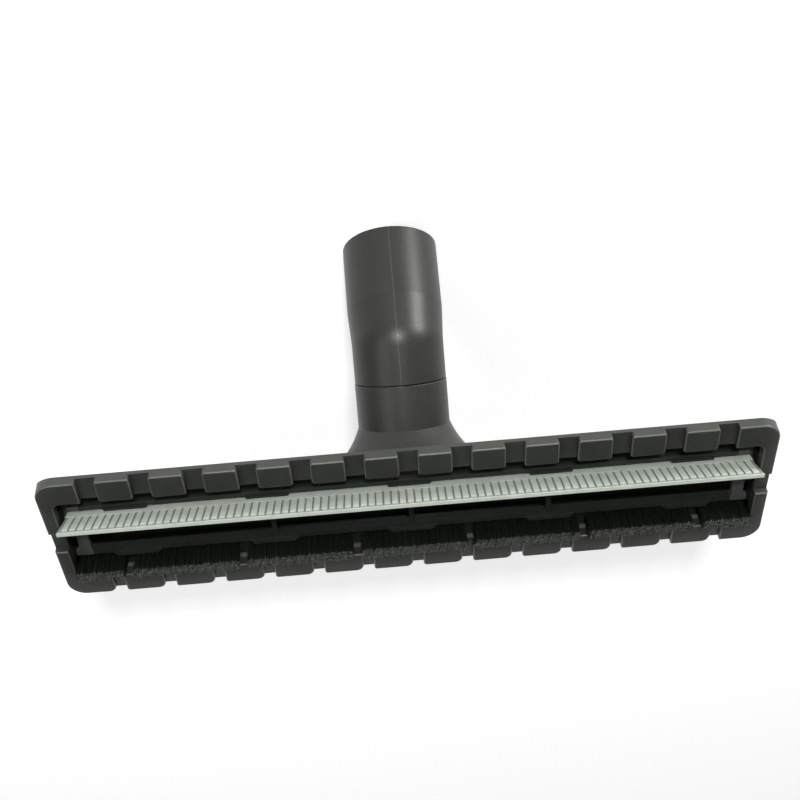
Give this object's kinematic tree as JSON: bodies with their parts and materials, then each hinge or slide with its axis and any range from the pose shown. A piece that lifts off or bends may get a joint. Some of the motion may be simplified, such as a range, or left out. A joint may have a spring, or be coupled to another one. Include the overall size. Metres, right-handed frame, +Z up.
{
  "type": "hard floor vacuum brush",
  "caption": "Wide flat suction head for hard floors with a ribbed squeegee lip, a row of bristles, a band of glide pads and a swivelling angled elbow for the vacuum tube.",
  "frame": {"origin": "on the floor under the middle of the part's outer box, level with the ends of the lip and bristles", "axes": "+Z up from the floor, +X along the head's width, +Y towards the bristles at the front, away from the elbow"},
  "size_m": [0.3, 0.1226, 0.1013],
  "materials": {
    "body_plastic": "satin",
    "inner_plastic": "satin",
    "lip_rubber": "matte",
    "bristle_fibre": "matte"
  },
  "bodies": {
    "head": {"housing": "body_plastic", "base_frame": "body_plastic", "strip_carrier": "inner_plastic", "squeegee_lip": "lip_rubber", "brush_back": "inner_plastic", "bristles_1": "bristle_fibre", "bristles_2": "bristle_fibre", "bristles_3": "bristle_fibre", "bristles_4": "bristle_fibre", "bristles_5": "bristle_fibre", "bristles_6": "bristle_fibre", "bristles_7": "bristle_fibre"},
    "elbow": {"swivel_elbow": "body_plastic", "lock_ring": "inner_plastic"}
  },
  "joints": [
    {"name": "elbow_swivel", "type": "hinge", "parent": "head", "child": "elbow", "pos_m": [0, -0.01238, 0.0442], "axis": [0, -0.8039, 0.5948], "continuous": true}
  ]
}
